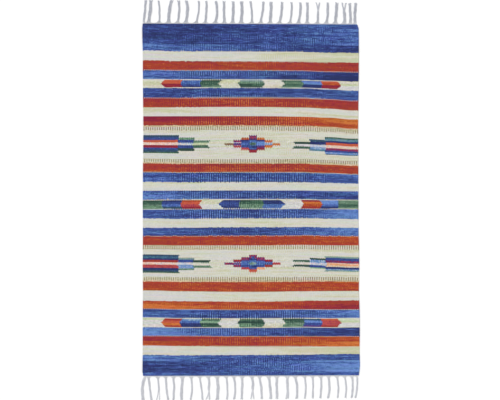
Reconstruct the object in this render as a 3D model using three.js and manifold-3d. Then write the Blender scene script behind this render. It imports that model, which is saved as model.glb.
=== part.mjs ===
// A flat-woven wool rug lying on a floor, with a fringe of cotton warp ends at both ends.
//
// Millimetres, +Z up. X runs across the rug along the weft, Y along it with the warp. The origin is on the
// underside, at the middle of the weave, so the rug lies on the plane Z = 0.
// Three solids: the woven field with its selvedges, and at each end a narrow heading strip
// that carries the tassels. Every tassel lies level on the floor.

import * as THREE from "three";
import Module from "manifold-3d";

const wasm = await Module();
wasm.setup();

// Driving dimensions
const WEAVE_LENGTH = 1490; // from one heading to the other, along the left selvedge
const FIELD_THICK = 4; // weft-faced wool
const BEAD_WIDE = 7; // the selvedge, where the weft turns round a doubled warp
const BEAD_HIGH = 5;
const FAR_END_SLANT = 4; // how far each end comes in at the right selvedge
const NEAR_END_SLANT = 2.5;
const SEAM_GAP = 0.3; // between the field and each heading strip
const HEADING_DEEP = 4; // the strip's size along the warp
const HEADING_HIGH = 3.4;
const HEADING_INSET = 3; // it stops this far short of the selvedges
const TASSEL_BITE = 2; // how far a tassel's root reaches into its strip

// The outline: distance from the far end, and the half widths to the left and to the right
const OUTLINE = [
  { run: 0, left: 457, right: 450 },
  { run: 14, left: 459, right: 456 },
  { run: 52, left: 459, right: 457 },
  { run: 112, left: 457, right: 457 },
  { run: 280, left: 456, right: 456 },
  { run: 440, left: 454, right: 454 },
  { run: 620, left: 456, right: 455 },
  { run: 765, left: 457, right: 455 },
  { run: 895, left: 456, right: 456 },
  { run: 1025, left: 457, right: 459 },
  { run: 1127, left: 456, right: 457 },
  { run: 1254, left: 457, right: 461 },
  { run: 1381, left: 457, right: 460 },
  { run: 1450, left: 458, right: 462 },
  { run: 1476, left: 458, right: 459 },
  { run: WEAVE_LENGTH, left: 455, right: 457 },
];

// Tassels from left to right: place of the root, sideways drift at half length and at the tip, width when
// flattened on the floor, and, where a tassel parts into two ends, the drift of the second tip
const FAR_TASSELS = [
  { root: -454, half: 6, tip: 10, wide: 9 },
  { root: -435, half: 10, tip: 11, wide: 13 },
  { root: -387, half: 1, tip: -4, wide: 7 },
  { root: -350, half: 6, tip: 14, wide: 13 },
  { root: -310, half: 7, tip: 4, wide: 9 },
  { root: -275, half: 7, tip: 2, wide: 12 },
  { root: -232, half: 11, tip: 12, wide: 7 },
  { root: -193, half: 5, tip: 5, wide: 9 },
  { root: -150, half: 7, tip: 2, wide: 10 },
  { root: -111, half: -2, tip: -3, wide: 10 },
  { root: -77, half: 2, tip: 3, wide: 11 },
  { root: -41, half: 3, tip: 3, wide: 12 },
  { root: 5, half: -1, tip: -6, wide: 8 },
  { root: 41, half: 8, tip: 13, wide: 9 },
  { root: 81, half: 4, tip: 4, wide: 12 },
  { root: 119, half: 11, tip: 12, wide: 10 },
  { root: 166, half: 6, tip: 6, wide: 8 },
  { root: 201, half: 8, tip: 8, wide: 10 },
  { root: 238, half: 2, tip: 1, wide: 10 },
  { root: 281, half: 3, tip: -4, wide: 9, fork: 10 },
  { root: 320, half: 5, tip: 5, wide: 10 },
  { root: 357, half: 4, tip: 7, wide: 12 },
  { root: 397, half: -2, tip: -9, wide: 12, fork: 5 },
  { root: 421, half: 0, tip: -3, wide: 10 },
  { root: 440, half: 1, tip: 3, wide: 11 },
];
const NEAR_TASSELS = [
  { root: -450, half: -8, tip: -6, wide: 12 },
  { root: -435, half: 9, tip: 14, wide: 8 },
  { root: -393, half: 4, tip: 8, wide: 7, fork: -7 },
  { root: -361, half: 5, tip: 11, wide: 8 },
  { root: -328, half: 3, tip: 0, wide: 8 },
  { root: -290, half: -2, tip: -3, wide: 11 },
  { root: -252, half: 3, tip: -2, wide: 7 },
  { root: -216, half: 7, tip: 12, wide: 7 },
  { root: -180, half: 3, tip: -9, wide: 9, fork: 5 },
  { root: -144, half: 5, tip: 2, wide: 12 },
  { root: -104, half: 5, tip: 3, wide: 7 },
  { root: -73, half: 7, tip: 2, wide: 8 },
  { root: -37, half: 0, tip: -1, wide: 9 },
  { root: 5, half: 3, tip: -5, wide: 10, fork: 6 },
  { root: 36, half: 8, tip: 10, wide: 9 },
  { root: 75, half: 7, tip: 9, wide: 10 },
  { root: 109, half: 1, tip: 2, wide: 10 },
  { root: 155, half: 1, tip: 4, wide: 10, fork: -7 },
  { root: 186, half: 10, tip: 7, wide: 9 },
  { root: 228, half: 4, tip: 1, wide: 7 },
  { root: 259, half: 5, tip: 1, wide: 7 },
  { root: 295, half: 3, tip: -2, wide: 8 },
  { root: 329, half: 3, tip: -2, wide: 9 },
  { root: 363, half: 7, tip: 4, wide: 7 },
  { root: 396, half: 7, tip: 4, wide: 7 },
  { root: 428, half: 3, tip: -2, wide: 8 },
  { root: 449, half: 1, tip: -8, wide: 7 },
];
const FAR_FRINGE = { tassels: FAR_TASSELS, leftLong: 101, rightLong: 92 };
const NEAR_FRINGE = { tassels: NEAR_TASSELS, leftLong: 106, rightLong: 96 };

const TASSEL_STEPS = 9; // stations along a tassel
const FOOT_SHARE = 0.16; // the part of its length where the warps gather from the edge
const FOOT_SPREAD = 1.3; // extra width at the root, as a share of the tassel's own
const FORK_SHARE = 0.46; // where a tassel that parts begins to part
const TUFT_SPREAD = 0.25; // extra width at the cut tip

const FAR_Y = WEAVE_LENGTH / 2;
const NEAR_Y = -WEAVE_LENGTH / 2;
const WIDEST = Math.max(...OUTLINE.map((row) => row.left));

const lerp = THREE.MathUtils.lerp;

// 0 at the left selvedge and 1 at the right one
const acrossShare = (x) => (x + WIDEST) / (2 * WIDEST);
const farEdgeAt = (x) => FAR_Y - FAR_END_SLANT * acrossShare(x);
const nearEdgeAt = (x) => NEAR_Y + NEAR_END_SLANT * acrossShare(x);

// A closed solid through rings of equal length, each ring a list of Vector3 in order round the section.
function loft(rings) {
  const around = rings[0].length;
  const points = rings.flat();
  const faces = [];
  for (let r = 0; r + 1 < rings.length; r++) {
    for (let k = 0; k < around; k++) {
      const a = r * around + k;
      const b = r * around + ((k + 1) % around);
      faces.push([a, b, b + around], [a, b + around, a + around]);
    }
  }
  const flat = rings[0].map((p) => new THREE.Vector2(p.x, p.z));
  const last = (rings.length - 1) * around;
  for (const [a, b, c] of THREE.ShapeUtils.triangulateShape(flat, [])) {
    faces.push([a, c, b], [last + a, last + b, last + c]);
  }
  const geometry = new THREE.BufferGeometry();
  geometry.setAttribute("position", new THREE.Float32BufferAttribute(points.flatMap((p) => p.toArray()), 3));
  geometry.setIndex(faces.flat());
  return geometry;
}

function solidOf(geometry) {
  const made = new wasm.Manifold(
    new wasm.Mesh({
      numProp: 3,
      vertProperties: geometry.getAttribute("position").array,
      triVerts: new Uint32Array(geometry.index.array),
    }),
  );
  return made;
}

function geometryOf(solid) {
  const mesh = solid.getMesh();
  const geometry = new THREE.BufferGeometry();
  geometry.setAttribute("position", new THREE.BufferAttribute(new Float32Array(mesh.vertProperties), 3));
  geometry.setIndex(new THREE.BufferAttribute(mesh.triVerts, 1));
  return geometry;
}

// Half of a section of the field, from the middle of the underside out to the selvedge and back over the top
const BEAD_PROFILE = [
  { inset: BEAD_WIDE, z: 0 },
  { inset: 1.6, z: 0 },
  { inset: 0.4, z: 0.9 },
  { inset: 0, z: BEAD_HIGH / 2 },
  { inset: 0.9, z: BEAD_HIGH - 0.9 },
  { inset: 3, z: BEAD_HIGH },
  { inset: 5.2, z: BEAD_HIGH - 0.3 },
  { inset: BEAD_WIDE, z: FIELD_THICK },
];

function wovenField() {
  const rings = OUTLINE.map(({ run, left, right }) => {
    const along = run / WEAVE_LENGTH;
    const place = (x, z) => new THREE.Vector3(x, lerp(farEdgeAt(x), nearEdgeAt(x), along), z);
    const rightSide = BEAD_PROFILE.map(({ inset, z }) => place(right - inset, z));
    const leftSide = BEAD_PROFILE.map(({ inset, z }) => place(inset - left, z)).reverse();
    return [...rightSide, ...leftSide];
  });
  return loft(rings);
}

// One tassel, or one end of a forked one. outward is +1 at the far end and -1 at the near end.
// sides holds the two ends of the strip it grows from.
function tassel({ root, half, tip, wide }, length, edgeAt, outward, startShare, sides) {
  const high = 3 + 0.15 * wide;
  const rings = [];
  for (let i = 0; i <= TASSEL_STEPS; i++) {
    const t = lerp(startShare, 1, (i / TASSEL_STEPS) ** 1.2);
    const drift = half * 4 * t * (1 - t) + tip * t * (2 * t - 1);
    const x = root + drift;
    const foot = Math.max(0, 1 - t / FOOT_SHARE);
    const tuft = Math.max(0, (t - 0.9) / 0.1);
    const halfWide = (wide / 2) * (1 + TUFT_SPREAD * tuft);
    const spread = (wide / 2) * FOOT_SPREAD * foot ** 2;
    // a foot spreads no further than the strip's end
    const left = Math.max(x - halfWide - spread, Math.min(x - halfWide, sides[0]));
    const right = Math.min(x + halfWide + spread, Math.max(x + halfWide, sides[1]));
    const start = SEAM_GAP + HEADING_DEEP - TASSEL_BITE;
    const y = edgeAt(root) + outward * lerp(start, length, t);
    const top = lerp(high, HEADING_HIGH - 0.4, foot);
    rings.push([
      new THREE.Vector3(left, y, 0),
      new THREE.Vector3(right, y, 0),
      new THREE.Vector3(lerp(left, right, 0.8), y, top),
      new THREE.Vector3(lerp(left, right, 0.2), y, top),
    ]);
  }
  return solidOf(loft(outward > 0 ? rings.reverse() : rings));
}

// The strip along the end of the weave, with all its tassels fused to it
function fringe({ tassels, leftLong, rightLong }, end, edgeAt, outward) {
  const near = outward * SEAM_GAP;
  const far = outward * (SEAM_GAP + HEADING_DEEP);
  const sides = [HEADING_INSET - end.left, end.right - HEADING_INSET];
  const rings = [Math.max(near, far), Math.min(near, far)].map((out) => [
    new THREE.Vector3(sides[0], edgeAt(sides[0]) + out, 0),
    new THREE.Vector3(sides[1], edgeAt(sides[1]) + out, 0),
    new THREE.Vector3(sides[1], edgeAt(sides[1]) + out, HEADING_HIGH),
    new THREE.Vector3(sides[0], edgeAt(sides[0]) + out, HEADING_HIGH),
  ]);
  let made = solidOf(loft(rings));
  for (const row of tassels) {
    const length = lerp(leftLong, rightLong, acrossShare(row.root));
    made = made.add(tassel(row, length, edgeAt, outward, 0, sides));
    if (row.fork !== undefined) {
      const second = { ...row, tip: row.fork, wide: 0.5 * row.wide };
      made = made.add(tassel(second, length - 2, edgeAt, outward, FORK_SHARE, sides));
    }
  }
  return geometryOf(made);
}

const WOOL = new THREE.MeshStandardMaterial({ color: 0x4a5f9e, roughness: 0.95, metalness: 0 });
const COTTON = new THREE.MeshStandardMaterial({ color: 0xd8d6d2, roughness: 0.95, metalness: 0 });

const rug = new THREE.Group();

const field = new THREE.Mesh(wovenField(), WOOL);
field.name = "woven_field";
rug.add(field);

const farFringe = new THREE.Mesh(fringe(FAR_FRINGE, OUTLINE[0], farEdgeAt, 1), COTTON);
farFringe.name = "fringe_far";
rug.add(farFringe);

const nearFringe = new THREE.Mesh(fringe(NEAR_FRINGE, OUTLINE.at(-1), nearEdgeAt, -1), COTTON);
nearFringe.name = "fringe_near";
rug.add(nearFringe);

export default rug;
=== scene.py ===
"""A hand-woven wool rug with striped and figured bands and a cotton fringe, dressed over its CAD model."""
import math
import random
from collections import namedtuple

import bpy
import numpy as np
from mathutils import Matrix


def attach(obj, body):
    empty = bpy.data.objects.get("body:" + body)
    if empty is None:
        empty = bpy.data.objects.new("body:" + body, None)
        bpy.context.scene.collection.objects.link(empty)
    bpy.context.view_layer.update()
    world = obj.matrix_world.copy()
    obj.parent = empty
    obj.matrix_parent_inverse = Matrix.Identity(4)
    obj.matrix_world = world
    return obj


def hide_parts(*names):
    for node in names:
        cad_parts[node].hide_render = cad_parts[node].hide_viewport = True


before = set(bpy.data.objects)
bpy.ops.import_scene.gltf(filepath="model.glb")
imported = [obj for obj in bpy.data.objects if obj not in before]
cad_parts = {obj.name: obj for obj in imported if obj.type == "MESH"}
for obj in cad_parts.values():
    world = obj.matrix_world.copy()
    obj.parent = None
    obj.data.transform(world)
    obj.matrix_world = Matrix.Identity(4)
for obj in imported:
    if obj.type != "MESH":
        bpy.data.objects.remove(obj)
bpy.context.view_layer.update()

MM = 0.001

# Sizes shared with the CAD model, in millimetres
WEAVE_LENGTH = 1490
FIELD_THICK = 4
BEAD_HIGH = 5
FAR_END_SLANT = 4
NEAR_END_SLANT = 2.5
SEAM_GAP = 0.3
HEADING_DEEP = 4
HEADING_INSET = 3
TASSEL_BITE = 2

# The outline: distance from the far end, and the half widths to the left and to the right
OUTLINE = [
    (0, 457, 450),
    (14, 459, 456),
    (52, 459, 457),
    (112, 457, 457),
    (280, 456, 456),
    (440, 454, 454),
    (620, 456, 455),
    (765, 457, 455),
    (895, 456, 456),
    (1025, 457, 459),
    (1127, 456, 457),
    (1254, 457, 461),
    (1381, 457, 460),
    (1450, 458, 462),
    (1476, 458, 459),
    (WEAVE_LENGTH, 455, 457),
]
WIDEST = max(row[1] for row in OUTLINE)

# The weave
WARPS = 193
HALF_WIDTH = 456.5  # of the cloth's own width coordinate
WARP_PITCH = 2 * HALF_WIDTH / WARPS
STITCH = 2.5  # height of one visible stitch of weft, two picks
UNEVEN_BEAT = 1.0  # how far the weft's height differs between warps
TOOTH = 1.0  # how far a figure's edge steps up or down from warp to warp in the middle
RAGGED = 1.5  # how far the stitches at a figure's sides differ

# How far the weft lies below a straight line, by place along the rug, at five places across
DRIFT_ACROSS = (-430, -300, 212, 335, 430)
DRIFT = [
    (745, 0, 0, 0, 0, 1),
    (631, -4, 0, 0, 3, 3),
    (547, 0, 1, 1, 5, 6),
    (434, 1, 1, 1, 5, 11),
    (310, 2, 1, 2, 6, 14),
    (172, -1, 1, -1, 4, 8),
    (116, 0, 1, 0, 4, 8),
    (74, -2, 0, 0, 2, 5),
    (37, 2, 1, 0, 2, 3),
    (-40, 3, 1, -1, 0, 0),
    (-80, -1, 1, -1, 0, 2),
    (-117, 3, 2, -1, 1, 2),
    (-212, -2, 0, -2, 0, 0),
    (-236, -2, 0, -1, 4, 8),
    (-285, -2, 0, -1, 4, 8),
    (-308, -2, 0, -1, 1, 3),
    (-339, -2, 0, -1, -2, 0),
    (-387, -7, -3, -2, -3, -3),
    (-431, -4, -2, -3, -4, -5),
    (-463, -5, -2, -1, 0, 0),
    (-543, -4, -1, -2, 0, -2),
    (-577, -2, -2, 0, 1, 1),
    (-620, -6, -3, 1, 1, 1),
    (-657, -1, 1, -1, -3, -4),
    (-745, 1, 1, 0, 0, 1),
]
LEVEL = 60  # the weft runs straight this far to each side of the middle


def lerp(a, b, t):
    return a + (b - a) * t


def ease(t):
    t = min(1.0, max(0.0, t))
    return t * t * (3 - 2 * t)


def read_table(rows, at, column):
    """The value of a column at a place between two rows, which run up or down in their first column."""
    places = np.array([row[0] for row in rows], float)
    values = np.array([row[column] for row in rows], float)
    if places[0] > places[-1]:
        places, values = places[::-1], values[::-1]
    return np.interp(at, places, values)


def far_edge(x):
    return WEAVE_LENGTH / 2 - FAR_END_SLANT * (x + WIDEST) / (2 * WIDEST)


def near_edge(x):
    return -WEAVE_LENGTH / 2 + NEAR_END_SLANT * (x + WIDEST) / (2 * WIDEST)


def on_floor(u, v):
    """Where the cloth's own coordinates lie on the floor: u across and v along, both in millimetres."""
    run = WEAVE_LENGTH / 2 - v
    left = read_table(OUTLINE, run, 1)
    right = read_table(OUTLINE, run, 2)
    x = u / HALF_WIDTH * np.where(u < 0, left, right)
    y = lerp(far_edge(x), near_edge(x), run / WEAVE_LENGTH)
    return x, y


def new_mesh(name, points, faces, smooth=True):
    """points in millimetres"""
    mesh = bpy.data.meshes.new(name)
    mesh.from_pydata((np.asarray(points, float) * MM).tolist(), [], faces)
    mesh.validate()
    if smooth:
        mesh.shade_smooth()
    made = bpy.data.objects.new(name, mesh)
    bpy.context.scene.collection.objects.link(made)
    return made


def store(made, name, values):
    """Keeps one vector for each point, for the material to read."""
    attribute = made.data.attributes.new(name, "FLOAT_VECTOR", "POINT")
    attribute.data.foreach_set("vector", np.asarray(values, np.float32).ravel())


# The woven field: a closed sheet with a rib over every warp, corded selvedges and blunt ends

# How the face and the back come together at a selvedge: distance from the edge, then both heights
SELVEDGE = [
    (0, 2.4, 2.4),
    (0.35, 3.4, 1.1),
    (0.9, 4.2, 0.5),
    (1.8, 4.8, 0.1),
    (2.9, BEAD_HIGH, 0.0),
    (4.1, 4.9, 0.0),
    (5.2, 4.5, 0.1),
    (6.2, 4.0, 0.3),
    (7.3, 3.9, 0.4),
]
# The same at an end of the weave
END = [(0, 1.9, 1.9), (0.7, 3.2, 0.7), (1.8, 3.9, 0.2), (4.5, FIELD_THICK, 0.0)]
LONG_ROWS = 116
BLUNT = 1  # the ribs begin this far from an end
END_SCALLOP = 0.7  # how far the last stitches stand out over each warp
RIB_RELIEF = 0.4
BACK_GROOVE = 0.5  # between two ribs of the back
WAVE_HIGH = 0.35
WAVE_REST = 1.3  # keeps the waves above the floor
RUFFLE_HIGH = 0.9
BAKE_MARGIN = 0.005


def cloth_columns():
    """Places across the cloth, each with 1 for a rib's crest, -1 for its valley or 0 in a selvedge."""
    border = [(row[0] - HALF_WIDTH, 0) for row in SELVEDGE]
    first = math.ceil(SELVEDGE[-1][0] / WARP_PITCH)
    ribs = []
    for k in range(2 * first + 1, 2 * (WARPS - first)):
        ribs.append((-HALF_WIDTH + k * WARP_PITCH / 2, 1 if k % 2 else -1))
    mirrored = [(-place, 0) for place, _ in reversed(border)]
    return np.array(border + ribs + mirrored, float)


def cloth_rows():
    border = [row[0] for row in END]
    middle = np.linspace(border[-1], WEAVE_LENGTH - border[-1], LONG_ROWS)[1:-1]
    runs = border + list(middle) + [WEAVE_LENGTH - r for r in reversed(border)]
    return WEAVE_LENGTH / 2 - np.array(runs, float)


def unevenness(u, v):
    """How far the cloth stands off the floor: low waves, and a ruffle that grows towards the selvedges."""
    # sines of unrelated lengths, so that the waves don't repeat
    wave = np.sin(u / 91 + 1.7 * np.sin(v / 230)) * np.sin(v / 117 + 0.6)
    wave += 0.6 * np.sin(u / 37 - v / 71 + 2.0) * np.sin(v / 53 + u / 260)
    rim = (np.abs(u) / HALF_WIDTH) ** 6
    ruffle = rim * (0.5 + 0.5 * np.sin(v / 43 + 1.3 * np.sin(v / 161) + np.sign(u)))
    return WAVE_HIGH * (wave + WAVE_REST) * (1 - 0.6 * rim) + RUFFLE_HIGH * ruffle


def weave_drift(u, v):
    """How far the weft lies below a straight line across."""
    across = [*DRIFT_ACROSS[:2], -LEVEL, LEVEL, *DRIFT_ACROSS[2:]]
    drifts = [read_table(DRIFT, v, column) for column in range(1, 6)]
    drifts[2:2] = [np.zeros_like(v), np.zeros_like(v)]
    drift = drifts[0]
    for index in range(1, len(across)):
        t = np.clip((u - across[index - 1]) / (across[index] - across[index - 1]), 0, 1)
        drift = drift + (drifts[index] - drifts[index - 1]) * t * t * (3 - 2 * t)
    return drift


def cloth_surfaces(u, v, rib):
    """The heights of the cloth's face and back."""
    from_side = HALF_WIDTH - np.abs(u)
    from_end = WEAVE_LENGTH / 2 - np.abs(v)
    ribbed = rib * (from_end > BLUNT)
    end_face = read_table(END, from_end, 1)
    past_field = read_table(SELVEDGE, from_side, 1) - FIELD_THICK
    face = end_face + past_field * (end_face / FIELD_THICK) + RIB_RELIEF * ribbed
    back = np.maximum(read_table(SELVEDGE, from_side, 2), read_table(END, from_end, 2))
    back += BACK_GROOVE / 2 * (1 - rib) * (from_end > BLUNT) * (from_side > SELVEDGE[-1][0])
    return np.maximum(face, back), back


def closed_faces(on_rim):
    """The quads of the face, then those of the back. They share the rim's points, and the back's other points
    come after all of the face's."""
    height, width = on_rim.shape
    top = np.arange(height * width).reshape(height, width)
    bottom = top.copy()
    bottom[~on_rim] = height * width + np.arange((~on_rim).sum())
    faces = []
    for grid, flipped in ((top, False), (bottom, True)):
        a, b = grid[:-1, :-1], grid[:-1, 1:]
        c, d = grid[1:, 1:], grid[1:, :-1]
        order = (a, b, c, d) if flipped else (a, d, c, b)
        faces += np.stack(order, -1).reshape(-1, 4).tolist()
    return faces


def bake_map(made, places, face_count):
    """Lays the face out beside the back, for a baker."""
    count = len(made.data.loops)
    corners = np.empty(count, np.int32)
    made.data.loops.foreach_get("vertex_index", corners)
    share = places[corners] / (2 * HALF_WIDTH, WEAVE_LENGTH, 1) + 0.5
    layer = made.data.uv_layers.new(name="OFBake")
    on_back = np.arange(count) >= 4 * face_count
    across = BAKE_MARGIN + (0.5 - 2 * BAKE_MARGIN) * share[:, 0] + 0.5 * on_back
    along = BAKE_MARGIN + (1 - 2 * BAKE_MARGIN) * share[:, 1]
    spots = np.stack([across, along], -1)
    layer.data.foreach_set("uv", np.clip(spots, 0, 1).astype(np.float32).ravel())


def woven_field():
    columns = cloth_columns()
    u, v = np.meshgrid(columns[:, 0], cloth_rows())
    rib = np.broadcast_to(columns[:, 1], u.shape)
    x, y = on_floor(u, v)
    y += np.sign(v) * END_SCALLOP * rib * (WEAVE_LENGTH / 2 - np.abs(v) < BLUNT)
    on_rim = np.ones(u.shape, bool)
    on_rim[1:-1, 1:-1] = False
    face, back = cloth_surfaces(u, v, rib)
    face = np.where(on_rim, (face + back) / 2, face)
    lift = unevenness(u, v)

    def points(across, along, face_height, back_height):
        over = np.stack([across, along, face_height], -1).reshape(-1, 3)
        under = np.stack([across, along, back_height], -1)[~on_rim]
        return np.concatenate([over, under])

    faces = closed_faces(on_rim)
    made = new_mesh("wool_field", points(x, y, face + lift, back + lift), faces)
    flat = np.zeros_like(u)
    store(made, "cloth", points(u, v + weave_drift(u, v), flat, flat))
    bake_map(made, points(u, v, flat, flat), len(faces) // 2)
    return made


# The dyes, in groups of four neighbours that one space-dyed yarn runs through
DYES = [
    ("navy", (38, 48, 102)),
    ("indigo", (54, 73, 142)),
    ("blue", (70, 101, 172)),
    ("sky", (108, 147, 210)),
    ("crimson", (140, 30, 58)),
    ("brick", (163, 56, 50)),
    ("vermilion", (175, 68, 34)),
    ("orange", (210, 118, 50)),
    ("milk", (213, 214, 213)),
    ("cream", (222, 221, 206)),
    ("straw", (205, 201, 164)),
    ("sage", (200, 212, 178)),
    ("pine", (38, 66, 60)),
    ("green", (58, 94, 78)),
    ("leaf", (100, 132, 108)),
    ("mint", (140, 176, 146)),
    ("slate", (48, 70, 96)),
    ("teal", (56, 100, 132)),
    ("sea", (90, 138, 158)),
    ("mist", (140, 162, 152)),
    ("umber", (128, 88, 60)),
    ("olive", (146, 136, 104)),
    ("tan", (190, 172, 138)),
    ("ochre", (226, 202, 164)),
    ("violet", (66, 60, 136)),
    ("plum", (124, 36, 78)),
    ("rose", (188, 74, 80)),
    ("coral", (198, 92, 62)),
    ("apricot", (232, 166, 112)),
    ("peach", (240, 208, 190)),
    ("lilac", (202, 213, 222)),
    ("steel", (100, 140, 194)),
]
DYE = {name: place for place, (name, _) in enumerate(DYES)}
BLUES, REDS, CREAMS, TANS = 0, 1, 2, 5
GROUP_SIZE = 4
HAIR = 0.01  # added to a whole number before it is rounded down
NEAR = 0.4  # two group numbers this close are the same

# A plain band: its height in millimetres, the dye group, how far through its group the yarn is at the left,
# in the middle and at the right, how far the yarns over even warps and those over odd warps differ, and the
# group of the other yarn where that is another one. The other yarn's dots lie on the even warps. Where the
# two yarns differ by 1 the dots grow few towards the sides.
Band = namedtuple("Band", "height group left middle right dash other", defaults=[None])
Gap = namedtuple("Gap", "height holds")  # a band that is charted below
PALE_LINE = Band(2.5, CREAMS, 1.0, 1.0, 1.0, 0.0, REDS)
GROUND = Band(0, CREAMS, 0.6, 1.0, 1.0, 0.0)  # the yarn round what is charted

# From the far end to the near end
BANDS = [
    Band(38, BLUES, 0.2, 0.8, 1.8, 0.25),
    Band(49, BLUES, 0.4, 0.8, 1.7, 0.5),
    Band(28, BLUES, 2.1, 1.3, 0.2, 0.9),
    Band(2.5, BLUES, 2.1, 0.0, 0.2, 1.0, CREAMS),
    Band(40, CREAMS, 0.2, 0.8, 2.2, 0.2),
    Band(2.5, REDS, 1.3, 0.2, 0.95, 1.0, CREAMS),
    Band(35, REDS, 1.3, 1.5, 0.95, 0.4),
    PALE_LINE,
    Band(17.5, BLUES, 1.9, 1.15, -0.4, 1.8),
    Band(19.5, BLUES, 2.0, 1.1, -0.4, 0.6),
    Gap(37, "arrows"),
    Band(27.5, BLUES, 1.1, 1.0, 1.25, 0.2),
    Band(10.5, BLUES, 0.7, 0.9, 1.6, 1.4),
    Band(2.5, BLUES, 0.5, 0.0, 1.6, 1.0, CREAMS),
    Band(2.5, CREAMS, 0.6, 1.0, 0.3, 0.0, REDS),
    Band(20, REDS, 1.0, 1.35, 0.8, 1.2),
    Band(16, REDS, 1.0, 1.25, 1.1, 1.4),
    Band(2.5, REDS, 1.0, 0.3, 1.1, 1.0, CREAMS),
    Band(37.5, CREAMS, 1.2, 0.6, 1.3, 0.1),
    Band(20.5, REDS, -0.3, 0.95, 3.3, 1.1),
    Band(18, REDS, 1.1, 1.1, 2.3, 1.6),
    Band(6.5, TANS, 2.4, 2.2, 2.3, -0.9),
    Band(14.5, CREAMS, 1.1, 1.2, 1.2, 0.0, TANS),
    Gap(122, "figures"),
    Band(14, TANS, 1.4, 1.1, 1.0, 0.0, CREAMS),
    Band(6, TANS, 2.6, 2.3, 2.6, 1.0),
    Band(17, REDS, 1.0, 1.15, 1.5, 1.0),
    Band(18, REDS, 1.4, 1.6, 1.2, 0.7),
    Band(2.5, CREAMS, 2.0, 1.6, 2.0, 0.0, TANS),
    Band(19.5, BLUES, 1.2, 0.65, 1.9, 1.5),
    Band(19.5, BLUES, 1.9, 0.45, 1.4, 1.8),
    Band(2.5, BLUES, 1.9, 0.0, 1.4, 1.0, CREAMS),
    Band(34.5, CREAMS, 0.8, 0.6, 0.9, 0.15),
    Band(17.5, BLUES, 1.5, 1.0, 1.4, 0.9),
    Band(17.1, BLUES, 2.8, 0.8, 1.1, 1.4),
    Band(2.5, BLUES, 2.0, 0.0, 1.1, 1.0, CREAMS),
    Band(1.7, CREAMS, 1.6, 1.2, 1.0, 0.0, TANS),
    Gap(38.6, "arrows"),
    Band(1.7, CREAMS, 0.4, 1.2, 1.0, 0.0, TANS),
    Band(20.7, BLUES, 1.9, 0.85, 2.2, 1.1),
    Band(17, BLUES, 1.3, 0.75, 2.9, 1.5),
    Band(2.5, BLUES, 1.3, 0.0, 2.7, 1.0, CREAMS),
    Band(36.5, CREAMS, 0.5, 1.1, 0.7, 0.1),
    Band(35, BLUES, 1.5, 0.85, 2.6, 0.4),
    PALE_LINE,
    Band(39, REDS, 1.5, 1.4, 2.0, 0.3),
    Band(18, CREAMS, 1.5, 1.4, 1.2, 0.1, TANS),
    Gap(117.5, "figures"),
    Band(13.5, TANS, 1.5, 1.2, 1.0, 0.1, CREAMS),
    Band(6.5, TANS, 2.9, 2.4, 2.3, 0.9),
    Band(41, REDS, 1.7, 1.6, 1.9, 0.3),
    Band(2.5, CREAMS, 2.0, 2.0, 1.0, 0.0, TANS),
    Band(39.5, CREAMS, 0.4, 0.9, 0.9, 0.1),
    Band(16.5, REDS, 2.2, 1.8, 0.8, 0.3),
    Band(16.5, REDS, 3.2, 2.1, 0.0, 0.8),
    PALE_LINE,
    Band(19.5, BLUES, 1.6, 0.9, 2.4, 0.7),
    Band(15.5, BLUES, 1.6, 0.75, 2.4, 1.6),
    Gap(41, "arrows"),
    Band(11, BLUES, 2.8, 1.1, 0.5, 1.6),
    Band(23.5, BLUES, 3.1, 1.3, 0.2, 0.8),
    PALE_LINE,
    Band(20.5, REDS, 0.5, 1.2, 2.1, 1.3),
    Band(19, REDS, 1.9, 1.15, 3.3, 0.7),
    Band(2.5, REDS, 1.9, 0.3, 3.1, 1.0, CREAMS),
    Band(35.5, CREAMS, 0.5, 0.9, 2.0, 0.15),
    Band(25.5, BLUES, 2.4, 1.1, 1.3, 0.3),
    Band(47, BLUES, 0.3, 1.3, 3.1, 0.3),
    Band(15, BLUES, 1.6, 1.3, 1.5, 0.5),
]

# The arrow chains, charted from the middle outwards: how far a block's point reaches to the left and to the
# right in each chain from the far end, how much it leans in for a millimetre off the middle, and the dyes of
# the block to the left and of the one to the right, each from its top line over the two halves of its core to
# its bottom line
Block = namedtuple("Block", "left right leans far middle near")
ARROW_CENTRE = 2.5
PAST_EDGE = (470, 470, 470)
ARROWS = [
    Block(
        (57, 54, 60), (59, 53, 59), (0.85, 0.4, 0.75),
        ("mist leaf pine pine", "mist leaf green pine"),
        ("pine green leaf leaf", "green green leaf leaf"),
        ("green pine leaf leaf", "green pine green leaf"),
    ),
    Block(
        (142, 141, 142), (143, 146, 144), (1.2, 1.3, 1.0),
        ("straw straw cream cream", "cream cream cream straw"),
        ("navy indigo indigo navy", "navy navy blue blue"),
        ("cream milk milk cream", "milk milk cream straw"),
    ),
    Block(
        (219, 221, 219), (222, 223, 225), (0.65, 0.8, 0.65),
        ("pine green green leaf", "green leaf green leaf"),
        ("straw straw milk milk", "cream milk milk milk"),
        ("green mint pine green", "pine green leaf leaf"),
    ),
    Block(
        (300, 301, 304), (301, 302, 300), (0.5, 0.65, 0.6),
        ("blue blue indigo navy", "blue sky navy navy"),
        ("vermilion coral rose crimson", "crimson orange vermilion brick"),
        ("steel blue navy navy", "slate sky indigo violet"),
    ),
    Block(
        (384, 378, 382), (382, 371, 378), (1.15, 0.2, 1.0),
        ("coral coral crimson crimson", "coral vermilion crimson crimson"),
        ("navy indigo blue slate", "sky sky blue navy"),
        ("brick coral orange brick", "coral rose rose brick"),
    ),
    Block(
        PAST_EDGE, PAST_EDGE, (0.0, 0.0, 0.0),
        ("cream straw straw cream", "cream straw milk milk"),
        ("pine green leaf leaf", "leaf leaf green leaf"),
        ("sage milk milk cream", "cream sage milk milk"),
    ),
]
EDGE_LINES = (2.5, 0.8, 2.5)  # the pale picks along each chain
CORE = 0.55  # how much of a chain's height lies between its top and bottom lines

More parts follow.
